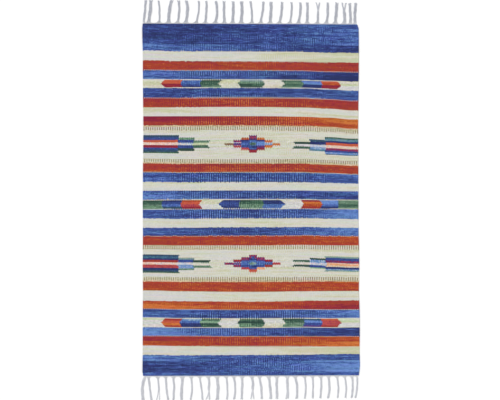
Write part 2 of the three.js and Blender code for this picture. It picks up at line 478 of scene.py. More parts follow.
# The arrows of the figured bands: each step begins at a distance from the middle, reaches further in by its
# lean for each millimetre off the middle, and holds stripes from its top down, each with its height
Step = namedtuple("Step", "start lean top stripes")
ARROW_FIGURES = [
    # far band, left
    [
        Step(190, 1.0, 18.5, "11 leaf, 10.5 sage, 12.5 green"),
        Step(250, 0.35, 30, "9 leaf, 13.5 indigo, 10.5 lilac, 12 indigo, 11 pine"),
        Step(
            315, 0.2, 41,
            "11 slate, 10.5 indigo, 10 coral, 11 peach, 12 crimson, 8.5 indigo, 8.5 slate, 6 green",
        ),
    ],
    # far band, right
    [
        Step(188, 0.9, 13.6, "11 pine, 8.5 milk, 11.5 green"),
        Step(252, 0.2, 24.5, "8.5 slate, 12 navy, 10.5 lilac, 11.5 steel, 6 sea"),
        Step(
            318, 0.2, 38.5,
            "7 green, 10 sea, 7.5 navy, 11 coral, 13 peach, 9 plum, 8 indigo, 7 steel, 4 teal",
        ),
    ],
    # near band, left
    [
        Step(185, 1.0, 14, "11 pine, 10.5 cream, 11 leaf"),
        Step(249, 0.35, 24, "8.5 mist, 11.5 indigo, 11 lilac, 13 steel, 7.5 leaf"),
        Step(
            312, 0.2, 36,
            "6 slate, 9.5 teal, 7 navy, 10 brick, 10 peach, 13 rose, 9.5 navy, 6 slate, 5.5 green",
        ),
    ],
    # near band, right
    [
        Step(184, 0.9, 13.7, "8.5 green, 11.5 cream, 8.5 pine"),
        Step(249, 0.2, 24, "7.5 pine, 12 steel, 9.5 lilac, 10 indigo, 5 mint"),
        Step(
            316, 0.2, 34,
            "6 mist, 12 indigo, 9.5 plum, 2.5 peach, 9 apricot, 6 peach, 10.5 navy, 5 steel, 6 mist",
        ),
    ],
]

# The stepped diamonds between them, charted as bars: the near and far reach from their middle, the low and
# high edges, the dyes to the left and right in the far band and in the near one, and the shape. Dots lie on
# every second warp: on the even ones, or on the odd ones.
Bar = namedtuple("Bar", "near far low high dyes shape", defaults=["block"])
STAR_CENTRE = 8.5
STAR_LIFTS = (1.5, -1.5)
LENS = 2.2  # how a leaf narrows for each millimetre off its middle
STARS = [
    Bar(56, 180, 11, 17, "sage cream cream cream"),
    Bar(56, 180, 5, 9, "straw straw cream milk"),
    Bar(56, 180, -14, -8, "straw milk cream cream"),
    Bar(56, 180, -21, -14, "milk straw cream straw"),
    Bar(0, 118, -4.7, 4.7, "umber orange plum rose"),
    Bar(0, 83, 0, 17.5, "plum orange brick crimson"),
    Bar(0, 83, -14.5, 0, "rose orange plum brick"),
    Bar(0, 83, -4.5, 9.4, "violet steel violet indigo"),
    Bar(0, 83, 8.0, 10.5, "lilac orange brick crimson", "even dots"),
    Bar(0, 83, 3.2, 5.7, "lilac lilac lilac steel", "odd dots"),
    Bar(0, 83, -1.8, 0.7, "violet steel lilac steel", "even dots"),
    Bar(0, 83, -6.0, -3.5, "lilac orange plum brick", "even dots"),
    Bar(0, 49, 0, 27.5, "vermilion orange plum plum"),
    Bar(0, 49, -24.5, 0, "rose crimson rose apricot"),
    Bar(0, 49, -15, 18.5, "navy navy violet violet"),
    Bar(0, 49, -14, 13, "indigo violet indigo indigo"),
    Bar(0, 49, -5, 12, "indigo sky blue blue"),
    Bar(22, 49, -3, 6, "blue sky blue blue"),
    Bar(0, 15.6, 0, 37.8, "plum plum plum plum"),
    Bar(0, 8, 18, 30.5, "plum plum blue indigo"),
    Bar(0, 15.6, -36, 0, "crimson crimson coral coral"),
    Bar(0, 15.6, -23, 23, "navy navy navy indigo"),
    Bar(0, 15.6, -20, 16, "blue blue blue blue"),
    Bar(0, 15.6, -16, -7, "indigo navy indigo navy"),
    Bar(0, 20, -6, 9.5, "teal sea sea sea", "lens"),
    Bar(0, 16, -3.5, 6, "green green leaf mist", "lens"),
]


LIGHT = 1.2  # how bright the scene's light makes a white surface


def linear(srgb):
    """The surface colour that shows as a screen colour from 0 to 255."""
    parts = []
    for value in srgb:
        value /= 255
        light = value / 12.92 if value <= 0.04045 else ((value + 0.055) / 1.055) ** 2.4
        parts.append(light / LIGHT)
    return parts


class Nodes:
    """Builds a material's node tree. Every value may be a number or a socket."""

    def __init__(self, name):
        self.material = bpy.data.materials.new(name)
        self.material.use_nodes = True
        self.tree = self.material.node_tree
        self.shader = next(n for n in self.tree.nodes if n.type == "BSDF_PRINCIPLED")

    def plug(self, socket, value):
        if isinstance(value, bpy.types.NodeSocket):
            self.tree.links.new(value, socket)
        else:
            socket.default_value = value

    def node(self, kind, inputs, **settings):
        """Adds a node and gives its outputs. Each input is a socket's name or number and a value."""
        node = self.tree.nodes.new("ShaderNode" + kind)
        for name, value in settings.items():
            setattr(node, name, value)
        for name, value in inputs:
            self.plug(node.inputs[name], value)
        return node.outputs

    def math(self, operation, *values, clamp=False):
        return self.node("Math", enumerate(values), operation=operation, use_clamp=clamp)[0]

    def add(self, a, b):
        return self.math("ADD", a, b)

    def sub(self, a, b):
        return self.math("SUBTRACT", a, b)

    def mul(self, a, b):
        return self.math("MULTIPLY", a, b)

    def choose(self, factor, low, high):
        """Between two numbers"""
        return self.node("Mix", [(0, factor), (2, low), (3, high)])[0]

    def choose_vector(self, factor, low, high):
        return self.node("Mix", [(0, factor), (4, low), (5, high)], data_type="VECTOR")[1]

    def blend(self, kind, factor, low, high):
        """Between two colours"""
        inputs = [(0, factor), (6, low), (7, high)]
        return self.node("Mix", inputs, data_type="RGBA", blend_type=kind)[2]

    def vector(self, x, y, z=0.0):
        return self.node("CombineXYZ", enumerate((x, y, z)))[0]

    def parts(self, vector):
        return self.node("SeparateXYZ", [(0, vector)])

    def dot(self, a, b):
        return self.node("VectorMath", [(0, a), (1, b)], operation="DOT_PRODUCT")["Value"]

    def attribute(self, name):
        return self.node("Attribute", [], attribute_name=name)["Vector"]

    def noise(self, vector, detail=2.0, roughness=0.5):
        inputs = [("Vector", vector), ("Scale", 1.0), ("Detail", detail), ("Roughness", roughness)]
        return self.node("TexNoise", inputs)[0]

    def grain(self, across, along, grain, depth=None, detail=2.0):
        """Noise as long and as fine as a Grain says"""
        depth = grain.depth if depth is None else depth
        place = self.vector(self.mul(across, 1 / grain.long), self.mul(along, grain.rate), depth)
        return self.noise(place, detail, grain.roughness)

    def white(self, vector):
        return self.node("TexWhiteNoise", [("Vector", vector)])["Value"]

    def ramp(self, factor, stops):
        node = self.tree.nodes.new("ShaderNodeValToRGB")
        self.plug(node.inputs[0], factor)
        elements = node.color_ramp.elements
        while len(elements) < len(stops):
            elements.new(0.5)
        for element, (place, colour) in zip(elements, stops):
            element.position = place
            element.color = (*colour, 1.0)
        return node.outputs[0]

    def bump(self, height, distance, strength):
        inputs = [("Height", height), ("Distance", distance), ("Strength", strength)]
        return self.node("Bump", inputs)[0]

    def dressed(self, looks, colour=None, normal=None):
        """The finished material"""
        for name, value in (("Base Color", colour), ("Normal", normal), *looks.items()):
            if value is not None:
                self.plug(self.shader.inputs[name], value)
        return self.material


def band_edges():
    """The near edge of each band, and the middle and height of each arrow chain and figured band."""
    at = WEAVE_LENGTH / 2
    scale = WEAVE_LENGTH / sum(band.height for band in BANDS)
    edges, middles = [], {"arrows": [], "figures": []}
    for band in BANDS:
        height = band.height * scale
        if isinstance(band, Gap):
            middles[band.holds].append((at - height / 2, height))
        at -= height
        edges.append(at)
    return edges, middles


def band_yarns(n, v, u):
    """The plain bands' yarns: both dye groups, the tone, how far neighbours differ, and the band's number."""
    edges, _ = band_edges()
    tones, traits, number = None, None, 0.0
    for index, band in enumerate(BANDS):
        if isinstance(band, Gap):
            band = GROUND
        other = band.group if band.other is None else band.other
        own_tones, own_traits = (band.left, band.middle, band.right), (band.group, other, band.dash)
        if not index:
            tones, traits = own_tones, own_traits
            continue
        below = n.math("LESS_THAN", v, edges[index - 1])
        tones = n.choose_vector(below, tones, own_tones)
        traits = n.choose_vector(below, traits, own_traits)
        number = n.add(number, below)
    share = n.math("DIVIDE", u, HALF_WIDTH)
    to_left = n.math("MULTIPLY", share, -1.0, clamp=True)
    to_right = n.math("MULTIPLY", share, 1.0, clamp=True)
    middle = n.sub(1.0, n.math("ABSOLUTE", share))
    tone = n.dot(tones, n.vector(to_left, middle, to_right))
    group, other, dash = n.parts(traits)
    return group, other, tone, dash, number


def arrow_chains(n, u, v, ragged):
    """The card place of the chains' dyes, and 1 where there is a chain."""
    _, middles = band_edges()
    (far, mid, near), heights = zip(*middles["arrows"])
    past_far = n.math("LESS_THAN", v, (far + mid) / 2)
    past_mid = n.math("LESS_THAN", v, (mid + near) / 2)
    which = n.vector(n.sub(1.0, past_far), n.sub(past_far, past_mid), past_mid)
    off_middle = n.sub(v, n.dot(which, (far, mid, near)))
    away = n.math("ABSOLUTE", off_middle)
    half_heights = [height / 2 - line for height, line in zip(heights, EDGE_LINES)]
    inside = n.math("LESS_THAN", away, n.dot(which, tuple(half_heights)))
    outer = n.math("GREATER_THAN", away, n.dot(which, tuple(CORE * half for half in half_heights)))
    signed = n.sub(u, ARROW_CENTRE)
    right = n.math("GREATER_THAN", signed, 0.0)
    across = n.add(n.math("ABSOLUTE", signed), ragged)
    lower = n.math("LESS_THAN", off_middle, 0.0)
    layers = {}
    for index, block in enumerate(ARROWS):
        chains = (block.far, block.middle, block.near)
        if index:
            inner = ARROWS[index - 1]
            lean = n.mul(away, n.dot(which, inner.leans))
            reach = n.dot(n.choose_vector(right, inner.left, inner.right), which)
            outside = n.math("GREATER_THAN", n.add(across, lean), reach)
        for side in (0, 1):
            for layer in range(4):
                own = tuple(float(DYE[chain[side].split()[layer]]) for chain in chains)
                before = layers.get((side, layer))
                layers[side, layer] = own if before is None else n.choose_vector(outside, before, own)
    sides = []
    for side in (0, 1):
        upper = n.choose_vector(outer, layers[side, 1], layers[side, 0])
        under = n.choose_vector(outer, layers[side, 2], layers[side, 3])
        sides.append(n.choose_vector(lower, upper, under))
    return n.dot(n.choose_vector(right, *sides), which), inside


NOTHING = -1.0  # the card place beside a figure


def arrow_figure(n, steps, across, off_middle):
    """The card place of one arrow's dyes."""
    away = n.math("ABSOLUTE", off_middle)
    card = NOTHING
    for step in steps:
        begun = n.math("GREATER_THAN", n.add(across, n.mul(away, step.lean)), float(step.start))
        own, edge = NOTHING, step.top
        for stripe in step.stripes.split(","):
            height, dye = stripe.split()
            own = n.choose(n.math("LESS_THAN", off_middle, float(edge)), own, float(DYE[dye]))
            edge -= float(height)
        own = n.choose(n.math("LESS_THAN", off_middle, float(edge)), own, NOTHING)
        card = n.choose(begun, card, own)
    return card


def star_figures(n, signed, height, even):
    """The card places of the diamonds' dyes in the far band and in the near one."""
    across = n.math("ABSOLUTE", signed)
    left = right = (NOTHING, NOTHING, NOTHING)
    for bar in STARS:
        middle, half = (bar.low + bar.high) / 2, (bar.high - bar.low) / 2
        reach = across
        if bar.shape == "lens":
            reach = n.add(across, n.mul(n.math("ABSOLUTE", n.sub(height, middle)), LENS))
        here = n.math("LESS_THAN", reach, float(bar.far))
        if bar.near:
            here = n.mul(here, n.math("GREATER_THAN", across, float(bar.near)))
        if bar.shape == "even dots":
            here = n.mul(here, even)
        if bar.shape == "odd dots":
            here = n.mul(here, n.sub(1.0, even))
        here = n.mul(here, n.math("COMPARE", height, middle, half))
        far_left, far_right, near_left, near_right = (float(DYE[name]) for name in bar.dyes.split())
        left = n.choose_vector(here, left, (far_left, near_left, 0.0))
        right = n.choose_vector(here, right, (far_right, near_right, 0.0))
    cards = n.choose_vector(n.math("GREATER_THAN", signed, 0.0), left, right)
    return n.parts(cards)[:2]


def figures(n, u, v, even, ragged):
    """The card place of the figured bands' dyes, and 1 where there is a figure."""
    _, middles = band_edges()
    (far_middle, near_middle), heights = zip(*middles["figures"])
    near_band = n.math("LESS_THAN", v, (far_middle + near_middle) / 2)
    off_middle = n.sub(v, n.choose(near_band, far_middle, near_middle))
    signed = n.sub(u, ARROW_CENTRE)
    across = n.add(n.math("ABSOLUTE", signed), ragged)
    arrows = [arrow_figure(n, steps, across, off_middle) for steps in ARROW_FIGURES]
    right = n.math("GREATER_THAN", signed, 0.0)
    arrow = n.choose(near_band, n.choose(right, *arrows[:2]), n.choose(right, *arrows[2:]))
    star_height = n.sub(off_middle, n.choose(near_band, *STAR_LIFTS))
    star = n.choose(near_band, *star_figures(n, n.sub(u, STAR_CENTRE), star_height, even))
    card = n.math("MAXIMUM", arrow, star)
    in_band = n.math("LESS_THAN", n.math("ABSOLUTE", off_middle), min(heights) / 2)
    return card, n.mul(n.math("GREATER_THAN", card, NOTHING / 2), in_band)


# How far each kind of unevenness moves a yarn: in the blues, in the reds, in the creams, and in the tans and
# the charted parts. All but the last two move its tone.
Swing = namedtuple("Swing", "blue red pale steady")
POOLS = Swing(4.4, 3.4, 6.0, 0.7)
STREAKS = Swing(4.6, 2.4, 2.6, 1.2)
PICKS = Swing(4.6, 3.0, 1.6, 2.3)
SPECKS = Swing(1.2, 0.9, 0.3, 1.2)
HUES = Swing(1.6, 1.4, 0.8, 1.2)
VALUES = Swing(0.3, 0.24, 0.12, 0.34)

# Noises: how long they are across in millimetres, their rate along for a millimetre or for a row of stitches,
# a third coordinate that sets them apart, and their roughness
Grain = namedtuple("Grain", "long rate depth roughness", defaults=[0.5])
STREAK_GRAIN = Grain(45, 1.3, 11.0, 0.6)  # by the row
PICK_GRAIN = Grain(40, 0.8, 9.3, 0.6)  # by the row
CLUMP_GRAIN = Grain(34, 1 / 9, 37.0)
HUE_GRAIN = Grain(150, 1 / 8, 51.0)
FIBRE_GRAIN = Grain(1 / 0.7, 5.0, 2.0, 0.65)
# A coordinate that sets each random draw for a warp or a stitch apart
DRAW = {"beat": 3.7, "ragged": 2.0, "dots": 17.0, "specks": 8.0, "breaks": 13.0, "worn": 21.0, "value": 5.0}

# Pools of colour: how much yarn's length one pass across takes, how far the picks that go left and those that
# go right lie apart, the height of a pool in millimetres, and how far apart two bands lie
POOL_PASS = 3.4
PALE_PASS = 1.6
PASS_APART = 0.55
POOL_HIGH = 8.0
BANDS_APART = 7.3
POOL_ROUGHNESS = 0.55

FADE_START = 0.36  # the dashes fade from this share of the half width on
FADE_END = 0.88  # they would be gone here
FADED = 0.12  # but this much is left
CHART_DASH = 0.5
CLUMP_FLOOR = 0.3
CLUMP_GAIN = 2.5
CLUMPED = (0.52, 1.04)  # how strong the dashes are between clumps and in one
BROKEN = (0.45, 1.55)  # how strong a single dash is, at least and at most
DOT_LIMITS = (0.2, 1.0)  # how strong the dashes must be for the weakest and the strongest dot
WORN_SHARE = 0.998  # a pale fibre shows on the rest of the stitches
WORN_TONE = 1.5
HUE_SHIFT = (0.35, -0.16, 0.4)

# Light and relief within a stitch: how much painted shade darkens its rim where it meets the next rib or row,
# how far its relief falls there, and what fibres add
MEAN_VALUE = 0.94
FIBRE_VALUE = 0.2
RIB_PAINTED_SHADE = 0.6
STITCH_PAINTED_SHADE = 0.3
RIB_FALL = 2.6
STITCH_FALL = 1.8
FIBRE_RELIEF = 0.35
WOOL_RELIEF = 0.6 * MM
WOOL_BUMP = 0.75
WOOL_LOOKS = {"Roughness": 0.92, "Specular IOR Level": 0.2, "Sheen Weight": 0.08, "Sheen Roughness": 0.6}

# A stitch: its warp, the pair that the warp is in, 1 or 0 for an even or odd warp, 1 or -1 for the same, its
# row, its middle, how strong dashes are there, and, squared, how far off the middle of its rib and of its
# row a point lies
Stitch = namedtuple("Stitch", "warp pair even side row u v central off_rib off_row")
# A stitch's yarn: its dye group, its tone, how far the two yarns differ, its band's number, and its kind
Yarn = namedtuple("Yarn", "group tone contrast number pale red steady")


def off_middle_squared(n, place):
    off = n.sub(n.math("FRACT", place), 0.5)
    return n.mul(off, off)


def find_stitch(n, u, v):
    """One rib to each warp, each with its own row of stitches, half a stitch up or down in turn."""
    across = n.math("DIVIDE", n.add(u, HALF_WIDTH), WARP_PITCH)
    warp = n.math("FLOOR", across)
    pair = n.math("FLOOR", n.mul(warp, 0.5))
    even = n.math("LESS_THAN", n.math("FLOORED_MODULO", warp, 2.0), 0.5)
    side = n.sub(n.mul(even, 2.0), 1.0)
    along = n.add(n.math("DIVIDE", v, STITCH), n.mul(even, 0.5))
    row = n.math("FLOOR", along)
    middle_u = n.sub(n.mul(n.add(warp, 0.5), WARP_PITCH), HALF_WIDTH)
    middle_v = n.mul(n.sub(n.add(row, 0.5), n.mul(even, 0.5)), STITCH)
    from_centre = n.math("ABSOLUTE", n.math("DIVIDE", middle_u, HALF_WIDTH))
    central = n.math("DIVIDE", n.sub(FADE_END, from_centre), FADE_END - FADE_START)
    central = n.math("MINIMUM", n.math("MAXIMUM", central, FADED), 1.0)
    off_rib = off_middle_squared(n, across)
    off_row = off_middle_squared(n, along)
    return Stitch(warp, pair, even, side, row, middle_u, middle_v, central, off_rib, off_row)


def find_yarn(n, at):
    # the wool is beaten down a little unevenly, and a figure's edge is toothed
    beat = n.sub(n.white(n.vector(at.warp, DRAW["beat"])), 0.5)
    beaten_v = n.add(at.v, n.mul(beat, UNEVEN_BEAT))
    toothed_v = n.add(at.v, n.mul(n.mul(at.side, TOOTH), at.central))
    ragged = n.mul(n.sub(n.white(n.vector(at.row, at.even, DRAW["ragged"])), 0.5), RAGGED)

    group, other, tone, contrast, number = band_yarns(n, beaten_v, at.u)
    # the other yarn's stitches grow few towards the sides, where the two differ
    limit = n.choose(n.white(n.vector(at.pair, number, DRAW["dots"])), *DOT_LIMITS)
    dotted = n.mul(at.even, n.math("GREATER_THAN", at.central, n.mul(limit, contrast)))
    group = n.choose(dotted, group, other)
    chain_card, on_chain = arrow_chains(n, at.u, toothed_v, ragged)
    figure_card, on_figure = figures(n, at.u, toothed_v, at.even, ragged)
    card = n.choose(on_figure, chain_card, figure_card)
    charted = n.math("MAXIMUM", on_chain, on_figure)
    card_group = n.math("FLOOR", n.math("DIVIDE", n.add(card, HAIR), GROUP_SIZE))
    group = n.choose(charted, group, card_group)
    tone = n.choose(charted, tone, n.sub(card, n.mul(card_group, GROUP_SIZE)))
    contrast = n.mul(at.central, n.choose(charted, contrast, CHART_DASH))
    pale, red, tan = (n.math("COMPARE", group, float(kind), NEAR) for kind in (CREAMS, REDS, TANS))
    return Yarn(group, tone, contrast, number, pale, red, n.math("MAXIMUM", charted, tan))


def swung(n, yarn, noise, swing):
    """How far a noise moves a yarn of its kind."""
    reach = n.choose(yarn.pale, n.choose(yarn.red, swing.blue, swing.red), swing.pale)
    reach = n.choose(yarn.steady, reach, swing.steady)
    return n.mul(n.sub(noise, 0.5), reach)


def uneven_tone(n, at, yarn):
    # A space-dyed yarn comes back to nearly the same place every second pick. So its colours pool: the picks
    # that go left and those that go right differ most in the middle and meet at the selvedges, where the
    # yarn turns.
    turn = n.mul(n.add(n.math("DIVIDE", at.u, 2 * HALF_WIDTH), 0.5), math.pi)
    across = n.mul(n.math("COSINE", turn), n.choose(yarn.pale, POOL_PASS, PALE_PASS))
    apart = n.mul(n.mul(n.math("SINE", turn), at.side), PASS_APART)
    height = n.add(n.math("DIVIDE", at.v, POOL_HIGH), n.mul(yarn.number, BANDS_APART))
    pools = n.noise(n.vector(across, apart, height), roughness=POOL_ROUGHNESS)
    # single picks stand out as thin streaks; the picks over even and over odd warps are others
    streaks = n.grain(at.u, at.row, STREAK_GRAIN)
    picks = n.grain(at.u, at.row, PICK_GRAIN, n.mul(at.even, PICK_GRAIN.depth))
    specks = n.white(n.vector(at.warp, at.row, DRAW["specks"]))
    tone = yarn.tone
    for noise, swing in ((pools, POOLS), (streaks, STREAKS), (picks, PICKS), (specks, SPECKS)):
        tone = n.add(tone, swung(n, yarn, noise, swing))
    return tone


def dashes(n, at, yarn):
    """Two yarns picked in turn show as dashes along the warp: the tone goes up on the even warps and down on
    the odd ones."""
    clumps = n.sub(n.grain(at.u, at.v, CLUMP_GRAIN), CLUMP_FLOOR)
    clumps = n.choose(n.math("MULTIPLY", clumps, CLUMP_GAIN, clamp=True), *CLUMPED)
    # a dash breaks off where the two yarns happen to match
    breaks = n.white(n.vector(at.pair, n.math("FLOOR", n.mul(at.row, 0.5)), DRAW["breaks"]))
    strength = n.mul(clumps, n.choose(breaks, *BROKEN))
    return n.mul(n.mul(strength, yarn.contrast), at.side)


def dye_colour(n, group, tone):
    tone = n.math("MINIMUM", n.math("MAXIMUM", tone, 0.0), GROUP_SIZE - 1.0)
    place = n.math("DIVIDE", n.add(n.mul(group, GROUP_SIZE), tone), len(DYES) - 1.0)
    stops = []
    for index, (_, srgb) in enumerate(DYES):
        stops.append((index / (len(DYES) - 1), linear(srgb)))
    return n.ramp(place, stops)


def wool_material():
    n = Nodes("dyed wool weave")
    u, v, _ = n.parts(n.attribute("cloth"))
    at = find_stitch(n, u, v)
    yarn = find_yarn(n, at)
    tone = n.add(uneven_tone(n, at, yarn), dashes(n, at, yarn))
    worn = n.math("GREATER_THAN", n.white(n.vector(at.warp, at.row, DRAW["worn"])), WORN_SHARE)
    tone = n.add(tone, n.mul(worn, WORN_TONE))
    colour = dye_colour(n, yarn.group, tone)
    # the dye also drifts a little in hue, less in the undyed creams
    drift = swung(n, yarn, n.grain(at.u, at.v, HUE_GRAIN), HUES)
    hue = [n.add(1.0, n.mul(drift, shift)) for shift in HUE_SHIFT]
    colour = n.blend("MULTIPLY", 1.0, colour, n.vector(*hue))
    # each stitch takes the light a little differently, and fibres show along the weft
    each = n.white(n.vector(at.warp, at.row, DRAW["value"]))
    fibres = n.grain(u, v, FIBRE_GRAIN, detail=3.0)
    value = n.add(swung(n, yarn, each, VALUES), n.add(n.mul(fibres, FIBRE_VALUE), MEAN_VALUE))
    # painted shade: the rim of each rib and of each row is darkened, as the grooves between the yarns would
    # be in shade
    value = n.sub(value, n.add(n.mul(at.off_rib, RIB_PAINTED_SHADE), n.mul(at.off_row, STITCH_PAINTED_SHADE)))
    colour = n.blend("MULTIPLY", 1.0, colour, n.vector(value, value, value))
    dome = n.sub(1.0, n.add(n.mul(at.off_rib, RIB_FALL), n.mul(at.off_row, STITCH_FALL)))
    height = n.add(dome, n.mul(fibres, FIBRE_RELIEF))
    return n.dressed(WOOL_LOOKS, colour, n.bump(height, WOOL_RELIEF, WOOL_BUMP))


# The fringe: warp ends that gather into loosely twisted tassels

# Tassels from left to right, as in the CAD model: place of the root, drift at half length and at the tip,
# width, and the drift of a second tip where a tassel parts
Tassel = namedtuple("Tassel", "root half tip wide fork", defaults=[None])
FAR_TASSELS = [
    (-454, 6, 10, 9), (-435, 10, 11, 13), (-387, 1, -4, 7), (-350, 6, 14, 13),
    (-310, 7, 4, 9), (-275, 7, 2, 12), (-232, 11, 12, 7), (-193, 5, 5, 9),
    (-150, 7, 2, 10), (-111, -2, -3, 10), (-77, 2, 3, 11), (-41, 3, 3, 12),
    (5, -1, -6, 8), (41, 8, 13, 9), (81, 4, 4, 12), (119, 11, 12, 10),
    (166, 6, 6, 8), (201, 8, 8, 10), (238, 2, 1, 10), (281, 3, -4, 9, 10),
    (320, 5, 5, 10), (357, 4, 7, 12), (397, -2, -9, 12, 5), (421, 0, -3, 10),
    (440, 1, 3, 11),
]
NEAR_TASSELS = [
    (-450, -8, -6, 12), (-435, 9, 14, 8), (-393, 4, 8, 7, -7), (-361, 5, 11, 8),
    (-328, 3, 0, 8), (-290, -2, -3, 11), (-252, 3, -2, 7), (-216, 7, 12, 7),
    (-180, 3, -9, 9, 5), (-144, 5, 2, 12), (-104, 5, 3, 7), (-73, 7, 2, 8),
    (-37, 0, -1, 9), (5, 3, -5, 10, 6), (36, 8, 10, 9), (75, 7, 9, 10),
    (109, 1, 2, 10), (155, 1, 4, 10, -7), (186, 10, 7, 9), (228, 4, 1, 7),
    (259, 5, 1, 7), (295, 3, -2, 8), (329, 3, -2, 9), (363, 7, 4, 7),
    (396, 7, 4, 7), (428, 3, -2, 8), (449, 1, -8, 7),
]
# name, tassels, edge of the weave, direction, and lengths at the left and at the right
FRINGES = [
    ("fringe_far", FAR_TASSELS, far_edge, 1, (101, 92)),
    ("fringe_near", NEAR_TASSELS, near_edge, -1, (106, 96)),
]
# The cotton of each end, from soiled to clean; the near end is the cleaner one
COTTONS = {
    "fringe_far": ((166, 168, 178), (197, 200, 210), (228, 229, 232)),
    "fringe_near": ((190, 193, 201), (218, 220, 227), (240, 240, 242)),
}
CORD = 3.0  # added to the number of a heading cord, which makes it paler
YARNS = 8  # warp ends in a tassel
YARN_SIDES = 6
GATHER = 15  # how far out the warp ends have all come together
ROOT_STATIONS = [0.2, 0.9, 1.8, 2.9, 4.2, 5.8, 7.6, 9.6, 12, 15]
FREE_STATIONS = 20
TASSEL_START = SEAM_GAP + HEADING_DEEP - TASSEL_BITE

# How thick a tassel is, and how its yarns lie in it
LEAST_HIGH = 3
HIGH_BY_WIDTH = 0.15
YARN_SHARE = 0.75  # of a tassel's section
BUNDLE_HALF = 0.62  # a tassel's half width, as a share of its width
YARN_ANGLE = 2.4  # between two yarns that follow one another outwards
TWIST = (0.7, 1.3)  # turns over the length
WANDER = ((0.15, 0.45), (9, 17), (0, 6.3))  # size, length and start of a slow bend
SHORTER = (0, 4.5)
OUTER_LONGER = (0, 1.5)
OUTER = 0.6  # share of the way out from a tassel's middle
ROOT_LOOSE = (-0.5, 0.5)
ROOT_HIGH = 2.0
ROOT_STEP = 0.5  # neighbours leave the weave this much higher or lower in turn
ROOT_THIN = 0.85

# How a tassel ends: it frays and sinks, its yarns thin out, and the two parts of a forked one draw apart
FRAY_START = 0.88
FRAY = 0.35
SINK_START = 0.85
SINK = 0.25
THIN_LENGTH = 3
THIN = 0.35
FORK_START = 0.5
FORK_RUN = 0.2
FORK_NARROW = 0.45

# The heading's two cords
CORD_PLACES = (1.25, 2.9)  # distance from the weave
CORD_RADIUS = 0.85
CORD_HIGH = 1.9
CORD_WAVE = 0.55  # up and down over the warps
CORD_STRAY = 0.2
CORD_STATIONS = 1.5  # for each warp


class Tubes:
    """Gathers round yarns into one mesh, with what the material reads: length along, turn round, and a number
    for each yarn."""

    def __init__(self):
        self.points = []
        self.faces = []
        self.places = []

    def add(self, line, radii, sides, key):
        """A tube through the points of line, with a flat cap at each end."""
        line = np.asarray(line, float)
        tangent = np.gradient(line, axis=0)
        tangent /= np.linalg.norm(tangent, axis=1)[:, None]
        start = len(self.points)
        travelled = 0.0
        for i, (at, radius) in enumerate(zip(line, radii)):
            if i:
                travelled += float(np.linalg.norm(at - line[i - 1]))
            side = np.cross(tangent[i], (0, 0, 1))
            side /= max(np.linalg.norm(side), 1e-6)
            up = np.cross(side, tangent[i])
            for k in range(sides):
                turn = k / sides
                angle = 2 * math.pi * turn
                self.points.append(at + radius * (math.cos(angle) * side + math.sin(angle) * up))
                self.places.append((travelled, turn, key))
            if i:
                for k in range(sides):
                    a = start + (i - 1) * sides + k
                    b = start + (i - 1) * sides + (k + 1) % sides
                    self.faces.append((a, b, b + sides, a + sides))
        last = start + (len(line) - 1) * sides
        self.faces.append(tuple(start + k for k in reversed(range(sides))))
        self.faces.append(tuple(last + k for k in range(sides)))

    def make(self, name):
        made = new_mesh(name, self.points, self.faces)
        store(made, "yarn", self.places)
        return made


def tassel_line(root, half, tip, t):
    """A smooth line over the drifts at half length and at the tip."""
    return root + half * 4 * t * (1 - t) + tip * t * (2 * t - 1)


def bundle_spread(t, forked):
    """How wide a tassel's bundle is at t, for the width that it has over most of its length."""
    spread = 1 + FRAY * max(0.0, (t - FRAY_START) / (1 - FRAY_START)) ** 2
    if forked:
        spread *= 1 - FORK_NARROW * ease((t - FORK_START) / FORK_RUN)
    return spread


def yarn_spots(phase):
    """The yarns' places in the bundle, as a distance and an angle. The leftmost comes first, so that it comes
    from the leftmost warp and few yarns cross at the root."""
    spots = []
    for k in range(YARNS):
        spots.append((math.sqrt((k + 0.5) / YARNS), k * YARN_ANGLE + phase))
    return sorted(spots, key=lambda spot: spot[0] * math.cos(spot[1]))


def add_tassel(tubes, tassel, reach, length, edge, outward, rng):
    """One tassel: its warp ends leave the weave side by side, gather and twist loosely together."""
    high = LEAST_HIGH + HIGH_BY_WIDTH * tassel.wide
    radius = math.sqrt(YARN_SHARE * tassel.wide * high / 4 / YARNS)
    turns = rng.uniform(*TWIST) * rng.choice((-1, 1))
    spots = yarn_spots(rng.uniform(0, 2 * math.pi))
    wander = [[rng.uniform(*span) for span in WANDER] for _ in range(2)]
    forked = tassel.fork is not None
    for k, (share, angle) in enumerate(spots):
        own_length = length - rng.uniform(*SHORTER) + rng.uniform(*OUTER_LONGER) * (share > OUTER)
        free = [lerp(GATHER, own_length, (i + 1) / FREE_STATIONS) for i in range(FREE_STATIONS)]
        warp_x = lerp(*reach, (k + 0.5) / YARNS) + rng.uniform(*ROOT_LOOSE)
        warp_z = ROOT_HIGH + ROOT_STEP * (-1) ** k
        second = forked and k >= YARNS / 2
        line, radii = [], []
        for out in ROOT_STATIONS + free:
            t = max(0.0, (out - TASSEL_START) / (length - TASSEL_START))
            tip = tassel.fork if second and t > FORK_START else tassel.tip
            middle = tassel_line(tassel.root, tassel.half, tip, t)
            half_wide = (BUNDLE_HALF * tassel.wide - radius) * bundle_spread(t, forked)
            half_high = (high / 2 - radius) * (1 - SINK * ease((t - SINK_START) / (1 - SINK_START)))
            turn = angle + 2 * math.pi * turns * t
            bundled_x = middle + half_wide * share * math.cos(turn)
            bundled_z = high / 2 + half_high * share * math.sin(turn)
            for size, wave, shift in wander:
                bundled_x += size * math.sin(out / wave + shift)
            # the warp ends sink into the bundle a little later than they come together
            apart = 1 - min(1.0, out / GATHER)
            x = lerp(bundled_x, warp_x, apart ** 2)
            z = lerp(bundled_z, warp_z, apart ** 1.5)
            line.append((x, edge(warp_x) + outward * out, max(z, radius)))
            thinned = 1 - THIN * max(0.0, (out - own_length + THIN_LENGTH) / THIN_LENGTH)
            radii.append(radius * thinned * lerp(1.0, ROOT_THIN, apart ** 2))
        tubes.add(line, radii, YARN_SIDES, rng.random())


